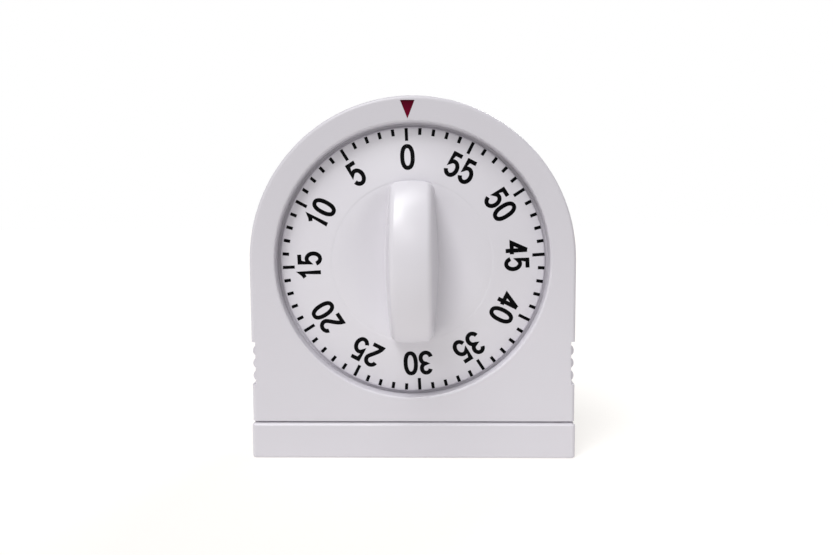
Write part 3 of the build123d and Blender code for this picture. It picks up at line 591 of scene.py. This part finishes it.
def digit_strokes(a, b):
    """The middle lines of the digits 0 to 5 in a box of half width a and half height b; True closes a line.

    Bowls are arcs of ellipses, and the tail of 2 is a Bezier curve. The 0 is an ellipse with its corners
    filled out: each coordinate's share of the half size is raised to the power of `fullness`.
    """
    half_size = np.array([a, b])
    fullness = 0.86
    oval = arc((0, 0), a, b, 0, 360, count=49)[:-1]
    zero = np.sign(oval) * half_size * (np.abs(oval) / half_size) ** fullness

    one_stem = 0.30 * a
    one = corners((-0.62 * a, 0.56 * b), (-0.05 * a, 0.74 * b), (one_stem, b), (one_stem, -b))

    two_top = arc((0, b - a), a, a, 172, -12, count=22)
    two_tail = bend(two_top[-1], (0.93 * a, 0.12 * b), (-0.75 * a, -0.42 * b), (-a, -b))
    two = np.concatenate([two_top, two_tail[1:], corners((a, -b))])

    upper_bowl, lower_bowl = 0.46 * b, 0.54 * b
    three_top = arc((0, b - upper_bowl), 0.86 * a, upper_bowl, 168, -88, count=24)
    three_low = arc((0, lower_bowl - b), a, lower_bowl, 88, -168, count=26)
    three = np.concatenate([three_top, three_low])

    four_stem, four_bar = 0.42 * a, -0.42 * b
    four_bend = corners((four_stem, b), (-1.06 * a, four_bar), (1.12 * a, four_bar))
    four_upright = corners((four_stem, 1.02 * b), (four_stem, -b))

    bowl_top = 0.30 * b
    five_bowl = arc((-0.02 * a, (bowl_top - b) / 2), 1.02 * a, (bowl_top + b) / 2, 140, -158, count=34)
    five = np.concatenate([corners((0.88 * a, b), (-0.66 * a, b)), five_bowl])
    return {
        "0": [(zero, True)],
        "1": [(one, False)],
        "2": [(two, False)],
        "3": [(three, False)],
        "4": [(four_bend, False), (four_upright, False)],
        "5": [(five, False)],
    }


def ribbon(path, closed, width, least_cosine=0.45):
    """Both edges of a stroke: the path shifted by half the width along its mitred normal.

    At a bend the shift is longer, by one over the cosine of half the turn, which counts as `least_cosine`
    or more. The edges' array has a row for each point, and in it two sides of two coordinates.
    """
    before = np.roll(path, 1, axis=0)
    after = np.roll(path, -1, axis=0)
    if not closed:
        before[0] = 2 * path[0] - path[1]
        after[-1] = 2 * path[-1] - path[-2]
    arriving = path - before
    leaving = after - path
    arriving /= np.linalg.norm(arriving, axis=1)[:, None]
    leaving /= np.linalg.norm(leaving, axis=1)[:, None]
    normal = np.stack([-(arriving + leaving)[:, 1], (arriving + leaving)[:, 0]], axis=1)
    normal /= np.linalg.norm(normal, axis=1)[:, None]
    flank = np.stack([-arriving[:, 1], arriving[:, 0]], axis=1)
    mitre = 1 / np.clip((normal * flank).sum(axis=1), least_cosine, 1)
    shift = normal * mitre[:, None] * width / 2
    return np.stack([path + shift, path - shift], axis=1)


def ink_slab(edges, closed, thickness):
    """A thin slab between a stroke's two edges, half of it sunk into the dial.

    Gives its corners, four at each point of the path (low left, high left, high right and low right) with
    the height as third coordinate, and its faces with the end caps.
    """
    count = len(edges)
    left, right = edges[:, 0], edges[:, 1]
    flat = np.stack([left, left, right, right], axis=1)
    height = np.broadcast_to([-thickness, thickness, thickness, -thickness], (count, section_sides))
    points = np.concatenate([flat, height[:, :, None]], axis=2)
    quads = section_walls(count, closed)
    if not closed:
        cap = np.arange(section_sides)
        quads = np.concatenate([quads, [cap[::-1], cap + (count - 1) * section_sides]])
    return points, quads


def on_ring(points, minutes, radius, dial, printing, offset=0.0):
    """Lays flat artwork on the dial's cone.

    u runs along the ring and v outwards from `radius`. The artwork is turned anticlockwise, 6 degrees for
    each minute, and moved a little to the right with the whole print. Each point then stands over the level
    of the dial's rim by (ring radius - distance from the axis) * tan(slope) + its own height.
    """
    angle = radians(degrees_a_minute * minutes) + printing.turn
    outward = np.array([-sin(angle), cos(angle)])
    along = np.array([cos(angle), sin(angle)])
    u = points[..., 0] + offset
    v = points[..., 1] + radius
    across = u * along[0] + v * outward[0] + printing.off_centre
    up = u * along[1] + v * outward[1]
    reach = np.hypot(across, up)
    height = (dial.ring_radius - reach) * tan(dial.ring_slope) + points[..., 2]
    depth = case_face_y + dial.ring_depth - height
    return np.stack([across + dial_middle_x, depth, up + dial_middle_z], axis=-1)


def printed(name, parts, material):
    """One mesh of many slabs, riding on the dial."""
    points, quads, base = [], [], 0
    for piece_points, piece_quads in parts:
        flat = piece_points.reshape(-1, 3)
        points.append(flat)
        quads.append(piece_quads + base)
        base += len(flat)
    moulded(name, np.concatenate(points), np.concatenate(quads).tolist(), material, "dial")


def ink_finish(colour):
    """Pad printing ink: near black, satin, and a little uneven in gloss and colour."""
    finish = Finish("printing_ink")
    patches = finish.noise(1.6 * mm, detail=3)
    film = finish.noise(0.25 * mm, detail=2)
    return finish.surface(
        Base_Color=finish.between(patches, colour, shade(colour, 1.8)),
        Roughness=0.34 + 0.16 * film,
        Normal=finish.bump(film, depth=0.002 * mm),
        Specular_IOR_Level=0.04,
    )


# ---------------------------------------------------------------- finishes


def plastic_finish(name, colour, roughness, grain, depth, clouds=22 * mm):
    """Moulded plastic: fine mould texture, faint flow clouds and a slightly uneven gloss."""
    finish = Finish(name)
    texture = finish.noise(grain, detail=3)
    flow = finish.noise(clouds, detail=3)
    handling = finish.noise(4.5 * mm, detail=4)
    tone = finish.between(flow, shade(colour, 0.985), shade(colour, 1.015))
    tone = finish.between(0.35 * texture, tone, shade(colour, 0.975))
    gloss = roughness + handling.spread(0.07) + texture.spread(0.05)
    return finish.surface(
        Base_Color=tone,
        Roughness=gloss.clamped(),
        Normal=finish.bump(texture, depth),
        IOR=1.5,
        Specular_IOR_Level=0.5,
    )


def pointer_finish(colour):
    """Glossy red moulding, with painted shade: darker towards its top edge, where the top of its pocket
    shades it.
    """
    finish = Finish("pointer_red")
    # Painted shade: the red runs from light at the low tip to dark at the top edge, standing in for the
    # pocket's shadow.
    height = finish.stretched((0, 0, 1 / (pointer_high.z - pointer_low.z)), centre=(0, 0, pointer_low.z))
    up = finish.node("ShaderNodeSeparateXYZ", {}, {0: height}, output="Z")
    mottle = finish.noise(0.7 * mm, detail=3)
    tone = finish.between((up + mottle.spread(0.2)).clamped(), shade(colour, 1.5), shade(colour, 0.55))
    return finish.surface(
        Base_Color=tone,
        Roughness=0.3 + 0.12 * mottle,
        Normal=finish.bump(mottle, depth=0.004 * mm),
        Specular_IOR_Level=0.08,
    )


def metal_finish(name, colour, roughness, marks, mark_size, mark_depth, tarnish=0.85):
    """Worked metal: tool marks stretched one way, and a slow change of tone from handling and age."""
    finish = Finish(name)
    scratches = finish.noise(mark_size, detail=3, place=finish.stretched(marks))
    age = finish.noise(5 * mm, detail=4)
    pits = finish.noise(0.5 * mm, detail=2)
    tone = finish.between((1.4 * age - 0.2).clamped(), shade(colour, tarnish), shade(colour, 1.06))
    tone = finish.between(0.25 * scratches, tone, shade(colour, 0.8))
    return finish.surface(
        Base_Color=tone,
        Metallic=1.0,
        Roughness=(roughness + scratches.spread(0.14) + age.spread(0.1) + 0.05 * pits).clamped(),
        Normal=finish.bump(scratches, mark_depth),
    )


# ---------------------------------------------------------------- operators

case_nodes = ["front_housing", "rear_cover", "base_plinth"]
brass_nodes = [
    "front_plate", "rear_plate", "great_wheel", "second_wheel", "third_wheel", "escape_wheel",
    "spring_barrel", "snail_cam", "rocker_weight", "hammer_head",
]
turned_nodes = [
    "pillars", "main_arbor", "second_arbor", "third_arbor", "escape_arbor", "anchor_arbor",
    "hammer_arbor", "lever_stud", "stop_post", "stop_pin", "bell_post",
]
sheet_nodes = ["strike_star", "anchor", "ring_lever", "hammer_tail", "hammer_arm"]
plated_nodes = ["cover_screws", "base_screws", "movement_screws", "pillar_nuts", "bell_nut"]
spring_nodes = ["mainspring", "hammer_spring", "clutch_spring"]


class TIMER_OT_case(bpy.types.Operator):
    """Moulded case: front housing, rear cover and plinth"""

    bl_idname = "timer.case"
    bl_label = "Case"

    def execute(self, context):
        plastic = context.scene.timer_plastic
        moulding = plastic_finish(
            "case_plastic", plastic.case, roughness=0.42, grain=plastic.grain, depth=plastic.grain_depth
        )
        give(case_nodes, moulding)
        return {"FINISHED"}


class TIMER_OT_well(bpy.types.Operator):
    """Ring that closes the gap round the dial"""

    bl_idname = "timer.well"
    bl_label = "Well ring"

    def execute(self, context):
        points, faces = well_ring(context.scene.timer_well, context.scene.timer_dial)
        moulded("well_ring", points, faces, nodes["front_housing"].data.materials[0], "case")
        return {"FINISHED"}


class TIMER_OT_pointer(bpy.types.Operator):
    """Red pointer let into the bezel"""

    bl_idname = "timer.pointer"
    bl_label = "Pointer"

    def execute(self, context):
        give(["pointer_insert"], pointer_finish(context.scene.timer_plastic.pointer))
        return {"FINISHED"}


class TIMER_OT_dial(bpy.types.Operator):
    """Dial knob: numbered ring, hub and bow grip in one moulding"""

    bl_idname = "timer.dial"
    bl_label = "Dial"

    def execute(self, context):
        plastic = context.scene.timer_plastic
        polished_depth = plastic.grain_depth / 3
        moulding = plastic_finish(
            "dial_plastic", plastic.dial, roughness=0.3, grain=plastic.grain, depth=polished_depth
        )
        give(["dial_knob"], moulding)
        return {"FINISHED"}


class TIMER_OT_hub(bpy.types.Operator):
    """Face of the hub, with its hollow beside the grip"""

    bl_idname = "timer.hub"
    bl_label = "Hub face"

    def execute(self, context):
        dial = context.scene.timer_dial
        points, faces = hub_face(dial)
        mesh = moulded("dial_hub_face", points, faces, nodes["dial_knob"].data.materials[0], "dial")
        mesh.polygons.foreach_set("use_smooth", [True] * len(mesh.polygons))
        ends = np.empty(2 * len(mesh.edges), int)
        mesh.edges.foreach_get("vertices", ends)
        reach = np.hypot(points[ends, 0] - dial_middle_x, points[ends, 2] - dial_middle_z).reshape(-1, 2)
        just_inside_rim = 0.999 * dial.face_radius
        mesh.edges.foreach_set("use_edge_sharp", (reach > just_inside_rim).all(axis=1))
        return {"FINISHED"}


class TIMER_OT_ticks(bpy.types.Operator):
    """Sixty printed minute marks, every fifth one longer"""

    bl_idname = "timer.ticks"
    bl_label = "Minute marks"

    def execute(self, context):
        scene = context.scene
        printing, dial = scene.timer_print, scene.timer_dial
        parts = []
        for minute in range(minutes_round):
            length = printing.minute_tick if minute % minutes_a_number else printing.five_tick
            line = corners((0, 0), (0, -length / 2), (0, -length))
            points, quads = ink_slab(ribbon(line, False, printing.tick_width), False, printing.thickness)
            parts.append((on_ring(points, minute, printing.tick_start, dial, printing), quads))
        printed("dial_ticks", parts, ink_finish(printing.ink))
        return {"FINISHED"}


class TIMER_OT_numbers(bpy.types.Operator):
    """Twelve printed numbers from 0 to 55, rising anticlockwise"""

    bl_idname = "timer.numbers"
    bl_label = "Numbers"

    def execute(self, context):
        scene = context.scene
        printing, dial = scene.timer_print, scene.timer_dial
        half_width = (printing.number_width - printing.stroke) / 2
        half_height = (printing.number_height - printing.stroke) / 2
        strokes = digit_strokes(half_width, half_height)
        parts = []
        for minute in range(0, minutes_round, minutes_a_number):
            digits = str(minute)
            for place, digit in enumerate(digits):
                offset = (place - (len(digits) - 1) / 2) * printing.digit_pitch
                for path, closed in strokes[digit]:
                    edges = ribbon(path, closed, printing.stroke)
                    points, quads = ink_slab(edges, closed, printing.thickness)
                    laid = on_ring(points, minute, printing.number_radius, dial, printing, offset)
                    parts.append((laid, quads))
        printed("dial_numbers", parts, bpy.data.materials["printing_ink"])
        return {"FINISHED"}


class TIMER_OT_clockwork(bpy.types.Operator):
    """Plates, wheels, arbors, levers and springs of the movement"""

    bl_idname = "timer.clockwork"
    bl_label = "Clockwork"

    def execute(self, context):
        metal = context.scene.timer_metal
        for names, finish, colour, roughness, marks, mark_size, mark_depth in (
            (brass_nodes, "brass", metal.brass, 0.3, (0.15, 1, 1), 0.12 * mm, 0.002 * mm),
            (turned_nodes, "turned_steel", metal.steel, 0.26, (0.02, 1, 0.02), 0.1 * mm, 0.002 * mm),
            (sheet_nodes, "steel_sheet", metal.steel, 0.36, (1, 1, 0.1), 0.14 * mm, 0.002 * mm),
            (spring_nodes, "spring_steel", metal.spring, 0.28, (1, 0.05, 1), 0.1 * mm, 0.001 * mm),
        ):
            give(names, metal_finish(finish, colour, roughness, marks, mark_size, mark_depth))
        return {"FINISHED"}


class TIMER_OT_bell(bpy.types.Operator):
    """Pressed steel bell"""

    bl_idname = "timer.bell"
    bl_label = "Bell"

    def execute(self, context):
        colour, turning = context.scene.timer_metal.bell, (1, 0.03, 1)
        steel = metal_finish(
            "bell_steel", colour, roughness=0.16, marks=turning, mark_size=0.5 * mm, mark_depth=0.001 * mm
        )
        give(["bell"], steel)
        return {"FINISHED"}


class TIMER_OT_screws(bpy.types.Operator):
    """Plated screws and nuts"""

    bl_idname = "timer.screws"
    bl_label = "Screws and nuts"

    def execute(self, context):
        colour = context.scene.timer_metal.plating
        plating = metal_finish(
            "plated_steel", colour, roughness=0.3, marks=(1, 1, 1), mark_size=0.3 * mm, mark_depth=0.002 * mm
        )
        give(plated_nodes, plating)
        return {"FINISHED"}


class TIMER_OT_shading(bpy.types.Operator):
    """Even shading of every moulded, turned and stamped node"""

    bl_idname = "timer.shading"
    bl_label = "Shading"

    def execute(self, context):
        shade_evenly(nodes, even_shading())
        return {"FINISHED"}


# ---------------------------------------------------------------- studio

floor_reach = 3.0
floor_front = -0.42
paper_tones = (0.34, 0.34, 0.34), (0.36, 0.36, 0.36)
paper_glow = (1.0, 0.972, 0.935, 1.0)

# Azimuth from straight in front towards the left, elevation above level and angular width, in degrees.
lamp_places = {
    "front_light": (8, 32, 20),
    "window_light": (32, 50, 22),
    "high_light": (40, 66, 24),
    "ceiling_light": (0, 80, 20),
    "back_light": (205, 36, 24),
}


def paper_floor(scene, glow):
    """An oblong of pale paper under the case, which gives off a little light of its own."""
    mesh = bpy.data.meshes.new("studio_floor")
    level = cad_corners[0][2]
    left, right, front, back = -floor_reach, floor_reach, floor_front, floor_reach
    rim = [(left, front, level), (right, front, level), (right, back, level), (left, back, level)]
    mesh.from_pydata(rim, [], [(0, 1, 2, 3)])
    floor = bpy.data.objects.new("studio_floor", mesh)
    scene.collection.objects.link(floor)
    paper = Finish("studio_paper")
    fibre = paper.noise(1.2 * mm, detail=3)
    mesh.materials.append(
        paper.surface(
            Base_Color=paper.between(fibre, *paper_tones),
            Roughness=0.9,
            Specular_IOR_Level=0.1,
            Emission_Color=paper_glow,
            Emission_Strength=glow,
        )
    )


def white_surround(scene, room_light):
    """A world that looks white, and lights the timer more weakly."""
    scene.world = bpy.data.worlds.new("studio_surround")
    scene.world.use_nodes = True
    surround = Graph(scene.world.node_tree)
    surround.tree.nodes.clear()
    seen = surround.node("ShaderNodeLightPath", output="Is Camera Ray")
    strength = seen + (1 - seen) * room_light
    glow = surround.node("ShaderNodeBackground", {}, {"Color": (1, 1, 1, 1), "Strength": strength})
    surround.node("ShaderNodeOutputWorld", {}, {"Surface": glow})


def sky_lamp(scene, name, azimuth, elevation, width, strength):
    """A broad far light: azimuth from straight in front towards the left, elevation above level."""
    lamp = bpy.data.lights.new(name, "SUN")
    lamp.angle = width
    lamp.energy = strength
    light = bpy.data.objects.new(name, lamp)
    towards = Vector((-sin(azimuth) * cos(elevation), -cos(azimuth) * cos(elevation), sin(elevation)))
    light.rotation_mode = "QUATERNION"
    light.rotation_quaternion = (-towards).to_track_quat("-Z", "Y")
    light.location = towards
    scene.collection.objects.link(light)


def aimed_camera(scene, studio, sensor_width=36, nearest=10 * mm):
    """The camera, at the studio's distance from the point that it looks at on the case's face."""
    azimuth, elevation, roll = studio.azimuth, studio.elevation, studio.roll
    back = Vector((sin(azimuth) * cos(elevation), -cos(azimuth) * cos(elevation), sin(elevation)))
    right = Vector((cos(azimuth), sin(azimuth), 0))
    up = back.cross(right)
    right_rolled = cos(roll) * right + sin(roll) * up
    up_rolled = -sin(roll) * right + cos(roll) * up
    target = Vector((studio.aim_x, case_face_y, studio.aim_z))
    turn = Matrix((right_rolled, up_rolled, back)).transposed().to_4x4()
    lens = bpy.data.cameras.new("camera")
    lens.lens = studio.focal_length
    lens.sensor_width = sensor_width
    lens.sensor_fit = "HORIZONTAL"
    lens.clip_start = nearest
    camera = bpy.data.objects.new("camera", lens)
    camera.matrix_world = Matrix.Translation(target + back * studio.distance) @ turn
    scene.collection.objects.link(camera)
    scene.camera = camera


class TIMER_OT_studio(bpy.types.Operator):
    """Pale floor, white surround, soft lights and the camera"""

    bl_idname = "timer.studio"
    bl_label = "Studio"

    def execute(self, context):
        scene = context.scene
        studio = scene.timer_studio
        paper_floor(scene, studio.floor_glow)
        white_surround(scene, studio.room_light)
        for name, place in lamp_places.items():
            azimuth, elevation, width = (radians(angle) for angle in place)
            sky_lamp(scene, name, azimuth, elevation, width, getattr(studio, name))
        scene.view_settings.view_transform = "Standard"
        scene.view_settings.look = "None"
        aimed_camera(scene, studio)
        return {"FINISHED"}


# ---------------------------------------------------------------- panel and registration


class TIMER_PT_panel(bpy.types.Panel):
    """Lists the timer's settings and steps"""

    bl_label = "Timer"
    bl_idname = "TIMER_PT_panel"
    bl_space_type = "VIEW_3D"
    bl_region_type = "UI"
    bl_category = "Timer"

    def draw(self, context):
        for group in setting_groups:
            settings = getattr(context.scene, group)
            for name in settings.__annotations__:
                self.layout.prop(settings, name)
        for step in steps:
            self.layout.operator(step.bl_idname)


setting_groups = {
    "timer_dial": TimerDialSettings,
    "timer_well": TimerWellSettings,
    "timer_print": TimerPrintSettings,
    "timer_plastic": TimerPlasticSettings,
    "timer_metal": TimerMetalSettings,
    "timer_studio": TimerStudioSettings,
}
steps = [
    TIMER_OT_case,
    TIMER_OT_well,
    TIMER_OT_pointer,
    TIMER_OT_dial,
    TIMER_OT_hub,
    TIMER_OT_ticks,
    TIMER_OT_numbers,
    TIMER_OT_clockwork,
    TIMER_OT_bell,
    TIMER_OT_screws,
    TIMER_OT_shading,
    TIMER_OT_studio,
]
classes = [*setting_groups.values(), *steps, TIMER_PT_panel]


def register():
    for each in classes:
        bpy.utils.register_class(each)
    for name, group in setting_groups.items():
        setattr(bpy.types.Scene, name, PointerProperty(type=group))


def unregister():
    for name in setting_groups:
        delattr(bpy.types.Scene, name)
    for each in reversed(classes):
        bpy.utils.unregister_class(each)


def main():
    register()
    bpy.ops.timer.case()
    bpy.ops.timer.well()
    bpy.ops.timer.pointer()
    bpy.ops.timer.dial()
    bpy.ops.timer.hub()
    bpy.ops.timer.ticks()
    bpy.ops.timer.numbers()
    bpy.ops.timer.clockwork()
    bpy.ops.timer.bell()
    bpy.ops.timer.screws()
    bpy.ops.timer.shading()
    bpy.ops.timer.studio()
    bpy.context.view_layer.update()


if __name__ == "__main__":
    main()
